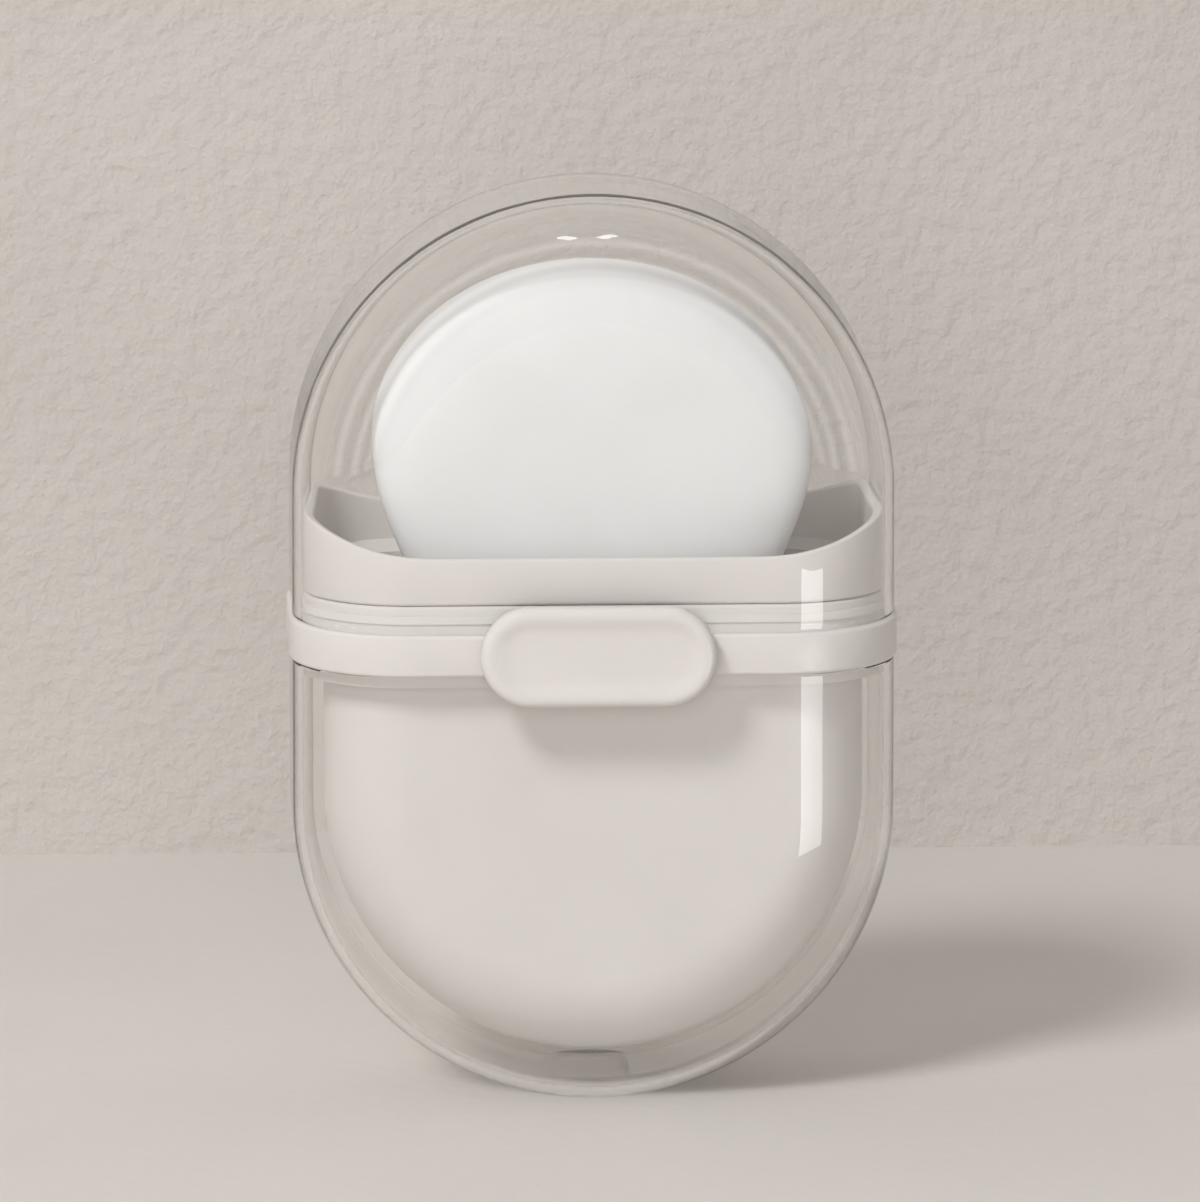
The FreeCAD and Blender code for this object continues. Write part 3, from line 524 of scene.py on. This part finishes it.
def make_belt():
    """The ring with its neck, groove and spigot, and the housing of the latch at its front."""
    bm = bmesh.new()
    stations = [
        (-BELT_PROUD, CUP_RIM),
        (-BELT_PROUD, BELT_TOP),
        (NECK_INSET, BELT_TOP),
        (NECK_INSET, GROOVE_LOW),
        (GROOVE_INSET, GROOVE_LOW),
        (GROOVE_INSET, GROOVE_HIGH),
        (NECK_INSET, GROOVE_HIGH),
        (NECK_INSET, NECK_TOP),
        (BORE_INSET, NECK_TOP),
        (BORE_INSET, SPIGOT_LOW),
        (SPIGOT_INSET, SPIGOT_LOW),
        (SPIGOT_INSET, CUP_RIM),
    ]
    loops = [plan_loop(bm, inset, height) for inset, height in stations]
    band = loops[0] + loops[1]
    brim = loops[stations.index((NECK_INSET, NECK_TOP))]
    for here, after in zip(loops, loops[1:] + loops[:1]):
        bridge(bm, here, after)
    bevel(bm, band, BELT_ROUND, EDGE_STEPS)
    bevel(bm, [e for e in brim if e.is_valid], FLANGE_ROUND, EDGE_STEPS)
    thing = new_object("belt_band", bm)

    boss = bmesh.new()
    pill_face(boss, BOSS_HALF, (BELT_TOP - CUP_RIM) / 2, BELT_MIDDLE, -BOSS_FRONT, BOSS_STEPS)
    pull(boss, boss.faces[:], (0, BOSS_FRONT - BOSS_BACK, 0))
    carve(thing, boss, "UNION")
    slot = block((-SLOT_HALF, -SLOT_FRONT, SLOT_LOW), (SLOT_HALF, -SLOT_BACK, SLOT_TOP))
    carve(thing, slot, "DIFFERENCE")
    low, high = BELT_MIDDLE - ROOM_RISE, BELT_MIDDLE + ROOM_RISE
    carve(thing, block((-ROOM_HALF, -SLOT_BACK, low), (ROOM_HALF, -ROOM_BACK, high)), "DIFFERENCE")
    low, high = BELT_MIDDLE - PRONG_RISE, BELT_MIDDLE + PRONG_RISE
    for side in (-1, 1):
        near, far = sorted((side * PRONG_NEAR, side * PRONG_FAR))
        carve(thing, block((near, -CUT_FRONT, low), (far, -PRONG_BACK, high)), "DIFFERENCE")
        pocket = bmesh.new()
        upright = Matrix.Rotation(math.pi / 2, 4, "X")
        place = Matrix.Translation((side * POCKET_PLACE, -POCKET_BACK, BELT_MIDDLE)) @ upright
        bmesh.ops.create_circle(
            pocket, cap_ends=True, segments=POCKET_STEPS, radius=POCKET_RADIUS, matrix=place
        )
        pull(pocket, pocket.faces[:], (0, POCKET_BACK - CUT_FRONT, 0))
        carve(thing, pocket, "DIFFERENCE")
    fit(thing, "base", CREAM, "belt_ring")


# The liner

LINER_INSET = 0.0039
LINER_WALL = 0.0012
INNER_INSET = LINER_INSET + LINER_WALL
LINER_CENTRE = 0.0394651
LINER_FLOOR = LINER_CENTRE - (HALF_WIDTH - LINER_INSET)
FLANGE_LOW = 0.06465
FLANGE_HIGH = 0.06585
FRONT_RIM = 0.07045
RIM_RISE = 0.0046
RIM_CURVE = 2.4
RIM_ROUND = 0.00035
RIM_STEPS = 15
SCOOP_HALF = 0.0185
DRAIN_COUNT = 5
DRAIN_PITCH = 0.007
DRAIN_HALF_WIDTH = 0.0015
DRAIN_HALF_LENGTH = 0.0085
DRAIN_HEIGHT = 0.01
DRAIN_STEPS = 12
RIB_HALF_WIDTH = 0.0007
RIB_HALF_LENGTH = 0.011
RIB_HEIGHT = 0.0016


def rim_height(place):
    """Height of the liner's rim: level in front of the soap, with a curve up to each side."""
    run = HALF_WIDTH - NECK_INSET - SCOOP_HALF
    along = min(max((abs(place) - SCOOP_HALF) / run, 0), 1)
    return FRONT_RIM + RIM_RISE * along**RIM_CURVE


def row(count):
    """Places of a row along X, centred on the middle."""
    return [DRAIN_PITCH * (number - (count - 1) / 2) for number in range(count)]


def drain_slot(place):
    """A round-ended slot through the liner's floor, as a tool for carving."""
    bm = bmesh.new()
    low = LINER_FLOOR - EASE
    reach = DRAIN_HALF_LENGTH - DRAIN_HALF_WIDTH
    pen = dot(bm, (place + DRAIN_HALF_WIDTH, reach, low))
    pen = draw_arc(bm, pen, (place, reach, low), (0, 0, 1), math.pi, DRAIN_STEPS)
    pen = draw_to(bm, pen, (place - DRAIN_HALF_WIDTH, -reach, low))
    draw_arc(bm, pen, (place, -reach, low), (0, 0, 1), math.pi, DRAIN_STEPS)
    close_and_fill(bm)
    pull(bm, bm.faces[:], (0, 0, DRAIN_HEIGHT))
    return bm


def make_liner():
    """The inner cup with its collar on the neck, scooped rim, drain slots and ribs between them."""
    bm = bmesh.new()
    collar_inset = NECK_INSET + LINER_WALL
    loops = [
        dome(bm, LINER_INSET, LINER_CENTRE, 1, RIM_STEPS),
        plan_loop(bm, LINER_INSET, LINER_CENTRE + EASE, RIM_STEPS),
        plan_loop(bm, LINER_INSET, FLANGE_LOW, RIM_STEPS),
        plan_loop(bm, NECK_INSET, FLANGE_LOW, RIM_STEPS),
        plan_loop(bm, NECK_INSET, FRONT_RIM, RIM_STEPS),
        plan_loop(bm, collar_inset, FRONT_RIM, RIM_STEPS),
        plan_loop(bm, collar_inset, FLANGE_HIGH, RIM_STEPS),
        plan_loop(bm, INNER_INSET, FLANGE_LOW, RIM_STEPS),
        plan_loop(bm, INNER_INSET, LINER_CENTRE + EASE, RIM_STEPS),
        dome(bm, INNER_INSET, LINER_CENTRE, 1, RIM_STEPS),
    ]
    flange = loops[3]
    rim = loops[4] + loops[5]
    for corner in {v for e in rim for v in e.verts}:
        corner.co.z = rim_height(corner.co.x)
    for here, after in zip(loops, loops[1:]):
        bridge(bm, here, after)
    bevel(bm, flange, FLANGE_ROUND, LIP_STEPS)
    bevel(bm, [e for e in rim if e.is_valid], RIM_ROUND, EDGE_STEPS)
    thing = new_object("liner_cup", bm)

    for place in row(DRAIN_COUNT):
        carve(thing, drain_slot(place), "DIFFERENCE")
    for place in row(DRAIN_COUNT - 1):
        root = LINER_CENTRE - math.sqrt((HALF_WIDTH - INNER_INSET) ** 2 - place**2)
        low = (place - RIB_HALF_WIDTH, -RIB_HALF_LENGTH, root - LINER_WALL / 2)
        high = (place + RIB_HALF_WIDTH, RIB_HALF_LENGTH, root + RIB_HEIGHT)
        carve(thing, block(low, high), "UNION")
    fit(thing, "liner", CREAM, "soap_liner")


# The soap

SOAP_HALF = 0.0273
SOAP_TOP = 0.1037
SOAP_LOW = 0.0087
SOAP_RISE = 0.0222
SOAP_THICK = 0.023
SOAP_STEPS = 48
SOAP_WAIST = 0.25
WAIST_STEPS = 30
SOAP_CROWN = 0.00445
SOAP_INWARD = 0.0165
CROWN_POWER = 2 / 2.6
CROWN_STEPS = 18


def soap_outline(bm, high, low):
    """The bar's middle section: two flattened half circles with straight sides between them, filled."""
    right = dot(bm, (SOAP_HALF, 0, 0))
    left = draw_arc(bm, right, (0, 0, 0), (0, -1, 0), math.pi, SOAP_STEPS)
    bmesh.ops.scale(bm, vec=(1, 1, SOAP_RISE / SOAP_HALF), verts=bm.verts)
    bmesh.ops.translate(bm, vec=(0, 0, high), verts=bm.verts)
    lower = only(bmesh.ops.duplicate(bm, geom=bm.verts[:] + bm.edges[:])["geom"], BMVert)
    bmesh.ops.rotate(bm, cent=(0, 0, high), matrix=Matrix.Rotation(math.pi, 3, "Y"), verts=lower)
    bmesh.ops.translate(bm, vec=(0, 0, low - high), verts=lower)
    sides = []
    for upper in (left, right):
        partner = min(lower, key=lambda v: (v.co - upper.co - Vector((0, 0, low - high))).length)
        sides += bmesh.ops.contextual_create(bm, geom=[upper, partner])["edges"]
    bmesh.ops.subdivide_edges(bm, edges=sides, cuts=WAIST_STEPS)
    bmesh.ops.edgeloop_fill(bm, edges=bm.edges)


def make_soap():
    """A waisted bar with flattened round ends, its edges rounded and its faces crowned."""
    bm = bmesh.new()
    high, low = SOAP_TOP - SOAP_RISE, SOAP_LOW + SOAP_RISE
    soap_outline(bm, high, low)
    front = push(bm, bm.faces[:], (0, SOAP_CROWN - SOAP_THICK / 2, 0))
    inward, out = 0, 0
    for step in range(1, CROWN_STEPS + 1):
        angle = math.pi / 2 * step / CROWN_STEPS
        next_inward = SOAP_INWARD * (1 - math.cos(angle) ** CROWN_POWER)
        next_out = SOAP_CROWN * math.sin(angle) ** CROWN_POWER
        bmesh.ops.inset_region(bm, faces=front, thickness=next_inward - inward, use_even_offset=True)
        ahead = list({v for f in front for v in f.verts})
        bmesh.ops.translate(bm, vec=(0, out - next_out, 0), verts=ahead)
        inward, out = next_inward, next_out
    half = bm.verts[:] + bm.edges[:] + bm.faces[:]
    bmesh.ops.mirror(bm, geom=half, matrix=Matrix(), merge_dist=NEAR, axis="Y")
    middle = (high + low) / 2
    for corner in bm.verts:
        along = min(abs(corner.co.z - middle) / (high - middle), 1)
        corner.co.x *= 1 - SOAP_WAIST * (1 + math.cos(math.pi * along)) / 2
    thing = new_object("soap_body", bm)
    fit(thing, "liner", SOAP, "soap_bar")


# The button

BUTTON_HALF = 0.0146
BUTTON_RADIUS = 0.0063
BUTTON_MIDDLE = 0.05885
BUTTON_BACK = 0.0235
BUTTON_THICK = 0.0021
BUTTON_STEPS = 40
BUTTON_ROUND = 0.0011
BUTTON_ROUND_STEPS = 8
BUTTON_BACK_ROUND = 0.0004
BUTTON_WALL = 0.0012
BUTTON_HOLLOW = 0.0007

# From the rim to the middle of the dished face: how far in, how far down
BUTTON_DISH = [
    (0.0003, 0),
    (0.0004, 0.00008),
    (0.0005, 0.00018),
    (0.0005, 0.00014),
    (0.0006, 0.00007),
    (0.0008, 0.00003),
]


def make_button():
    """A pill with a soft raised rim, a shallow dished face and a hollow back."""
    bm = bmesh.new()
    pill_face(bm, BUTTON_HALF, BUTTON_RADIUS, BUTTON_MIDDLE, -BUTTON_BACK, BUTTON_STEPS)
    back = bm.faces[:]
    front = pull(bm, back, (0, -BUTTON_THICK, 0))
    back_edges = list({e for f in back for e in f.edges})
    bevel(bm, list({e for f in front for e in f.edges}), BUTTON_ROUND, BUTTON_ROUND_STEPS)
    bevel(bm, back_edges, BUTTON_BACK_ROUND, EDGE_STEPS)
    foremost = -BUTTON_BACK - BUTTON_THICK + NEAR
    face = max((f for f in bm.faces if f.calc_center_median().y < foremost), key=BMFace.calc_area)
    for inward, sink in BUTTON_DISH:
        bmesh.ops.inset_region(bm, faces=[face], thickness=inward, use_even_offset=True)
        bmesh.ops.translate(bm, vec=(0, sink, 0), verts=face.verts)
    rearmost = -BUTTON_BACK - NEAR
    rear = max((f for f in bm.faces if f.calc_center_median().y > rearmost), key=BMFace.calc_area)
    bmesh.ops.inset_region(
        bm, faces=[rear], thickness=BUTTON_WALL - BUTTON_BACK_ROUND, use_even_offset=True
    )
    push(bm, [rear], (0, -BUTTON_HOLLOW, 0))
    thing = new_object("button_cap", bm)
    fit(thing, "button", CREAM, "push_button")


# The button's springs

SPRING_RADIUS = 0.00115
SPRING_WIRE = 0.0003
SPRING_SIDES = 12
SPRING_TURNS = 3
SPRING_STEPS = 40
SPRING_START = 0.0211
SPRING_LENGTH = 0.0029


def make_spring(name, side, node):
    """A coil between its pocket and the button's back."""
    bm = bmesh.new()
    bmesh.ops.create_circle(bm, cap_ends=True, segments=SPRING_SIDES, radius=SPRING_WIRE / 2)
    middle = Vector((side * POCKET_PLACE, -SPRING_START, BELT_MIDDLE))
    bmesh.ops.translate(bm, vec=middle + Vector((SPRING_RADIUS, 0, 0)), verts=bm.verts)
    steps = SPRING_TURNS * SPRING_STEPS
    bmesh.ops.spin(
        bm,
        geom=bm.verts[:] + bm.edges[:] + bm.faces[:],
        cent=middle,
        axis=(0, -1, 0),
        dvec=(0, -SPRING_LENGTH / steps, 0),
        angle=2 * math.pi * SPRING_TURNS,
        steps=steps,
    )
    thing = new_object(name, bm)
    fit(thing, "base", WIRE, node)
    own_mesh(thing)


make_lid()
make_cup()
make_belt()
make_liner()
make_soap()
make_button()
make_spring("spring_coil_left", -1, "button_spring_left")
make_spring("spring_coil_right", 1, "button_spring_right")


def dress(node, material):
    """Give a CAD node that stays on show its finish."""
    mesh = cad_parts[node].data
    mesh.materials.clear()
    mesh.materials.append(material)


dress("latch_slider", CREAM)
dress("lid_seal", soft_silicone())


# Floor, wall, lamps and camera

STAGE_HALF = 1.5
WALL_BACK = 0.142


def plaster(name, first, second, size, depth):
    """Pale painted plaster, seen from its front only."""
    made, nodes, links = new_material(name)
    surface = nodes["Principled BSDF"]
    clouds = grain(made, size=size * 20, detail=4)
    links.new(tint(made, clouds, first, second), surface.inputs["Base Color"])
    surface.inputs["Roughness"].default_value = 0.85
    texture = relief(made, grain(made, size=size, detail=4), distance=depth, strength=0.5)
    links.new(texture, surface.inputs["Normal"])
    clear = nodes.new("ShaderNodeBsdfTransparent")
    side = nodes.new("ShaderNodeNewGeometry")
    mix = nodes.new("ShaderNodeMixShader")
    links.new(side.outputs["Backfacing"], mix.inputs["Fac"])
    links.new(surface.outputs["BSDF"], mix.inputs[1])
    links.new(clear.outputs["BSDF"], mix.inputs[2])
    links.new(mix.outputs["Shader"], nodes["Material Output"].inputs["Surface"])
    return made


def panel(name, place, material):
    """A large flat square, laid by a matrix."""
    bm = bmesh.new()
    bmesh.ops.create_grid(bm, x_segments=1, y_segments=1, size=STAGE_HALF, matrix=place)
    thing = new_object(name, bm)
    thing.data.materials.append(material)
    return thing


def make_stage():
    paint = plaster("floor_plaster", (0.72, 0.684, 0.648), (0.75, 0.712, 0.675), size=0.003, depth=0.0001)
    floor = panel("floor", Matrix(), paint)
    paint = plaster("wall_plaster", (0.61, 0.573, 0.536), (0.65, 0.611, 0.572), size=0.0022, depth=0.0006)
    upright = Matrix.Rotation(math.pi / 2, 4, "X")
    wall = panel("wall", Matrix.Translation((0, WALL_BACK, STAGE_HALF)) @ upright, paint)


def lamp(name, place, aim, size, power):
    """A soft lamp that looks at a point. The clear shells let its light through as it comes."""
    data = bpy.data.lights.new(name, "AREA")
    data.shape = "RECTANGLE"
    data.size, data.size_y = size
    data.energy = power
    thing = bpy.data.objects.new(name, data)
    thing.location = place
    thing.rotation_euler = (Vector(aim) - Vector(place)).to_track_quat("-Z", "Y").to_euler()
    thing.visible_camera = False
    thing.visible_transmission = False
    scene.collection.objects.link(thing)
    return thing


def glow(name, **setting):
    """A lamp that lights the box but leaves no mark of its own on the polished shells."""
    lamp(name, **setting).visible_glossy = False


def shine(name, **setting):
    """A panel that only shows as a reflection."""
    lamp(name, **setting).visible_diffuse = False


def make_lamps():
    glow("key_lamp", place=(-0.49, -0.68, 0.91), aim=(0, 0, 0.05), size=(0.26, 0.26), power=7.2)
    glow("front_lamp", place=(-0.15, -1.3, 0.25), aim=(0, 0, 0.06), size=(0.7, 0.7), power=4.8)
    shine("right_strip", place=(0.09, -0.125, 0.016), aim=(0.02, -0.01, 0.016), size=(0.05, 0.06), power=0.05)
    for name, x in (("window_left", -0.05), ("window_right", 0.05)):
        shine(name, place=(x, -0.05, 0.65), aim=(0, -0.01, 0.11), size=(0.06, 0.03), power=0.06)


ROOM_LIGHT = 0.23

# What the shells mirror and bend into view, from the front of the room to its back: place, brightness
ROOM_BANDS = [
    (0.0, 0.62),
    (0.05, 0.55),
    (0.1, 0.2),
    (0.16, 1.3),
    (0.2, 0.1),
    (0.26, 1.8),
    (0.3, 0.1),
    (0.37, 0.4),
    (0.43, 2.0),
    (0.48, 0.1),
    (0.55, 1.2),
    (0.61, 0.05),
    (0.72, 0.0),
    (1.0, 0.0),
]


def make_room():
    """Even light for the surfaces, and soft bands from front to back for the clear shells."""
    world = bpy.data.worlds.new("room")
    world.use_nodes = True
    nodes, links = world.node_tree.nodes, world.node_tree.links
    way = nodes.new("ShaderNodeTexCoord")
    split = nodes.new("ShaderNodeSeparateXYZ")
    spread = nodes.new("ShaderNodeMapRange")
    spread.inputs["From Min"].default_value = -1
    bands = nodes.new("ShaderNodeValToRGB")
    bands.color_ramp.interpolation = "EASE"
    stops = bands.color_ramp.elements
    while len(stops) < len(ROOM_BANDS):
        stops.new(1)
    for stop, (place, level) in zip(stops, ROOM_BANDS):
        stop.position = place
        stop.color = (level, level, level, 1)
    path = nodes.new("ShaderNodeLightPath")
    choose = nodes.new("ShaderNodeMix")
    choose.inputs["B"].default_value = ROOM_LIGHT
    links.new(way.outputs["Generated"], split.inputs["Vector"])
    links.new(split.outputs["Y"], spread.inputs["Value"])
    links.new(spread.outputs["Result"], bands.inputs["Fac"])
    links.new(bands.outputs["Color"], choose.inputs["A"])
    links.new(path.outputs["Is Diffuse Ray"], choose.inputs["Factor"])
    links.new(choose.outputs["Result"], nodes["Background"].inputs["Strength"])
    nodes["Background"].inputs["Color"].default_value = (1, 0.99, 0.98, 1)
    scene.world = world


CAMERA_TILT = math.radians(10.8)
CAMERA_TURN = math.radians(2.4)
CAMERA_DISTANCE = 2.0
CAMERA_AIM = Vector((0.00117, 0, 0.0612))
PICTURE_HEIGHT = 0.15025
SENSOR_SIZE = 36


def make_camera():
    data = bpy.data.cameras.new("camera")
    data.sensor_width = SENSOR_SIZE
    data.lens = SENSOR_SIZE * CAMERA_DISTANCE / PICTURE_HEIGHT
    thing = bpy.data.objects.new("camera", data)
    level = math.cos(CAMERA_TILT)
    back = Vector((-level * math.sin(CAMERA_TURN), -level * math.cos(CAMERA_TURN), math.sin(CAMERA_TILT)))
    thing.location = CAMERA_AIM + back * CAMERA_DISTANCE
    thing.rotation_euler = (-back).to_track_quat("-Z", "Y").to_euler()
    scene.collection.objects.link(thing)
    scene.camera = thing


make_stage()
make_room()
make_lamps()
make_camera()
scene.view_settings.view_transform = "Standard"
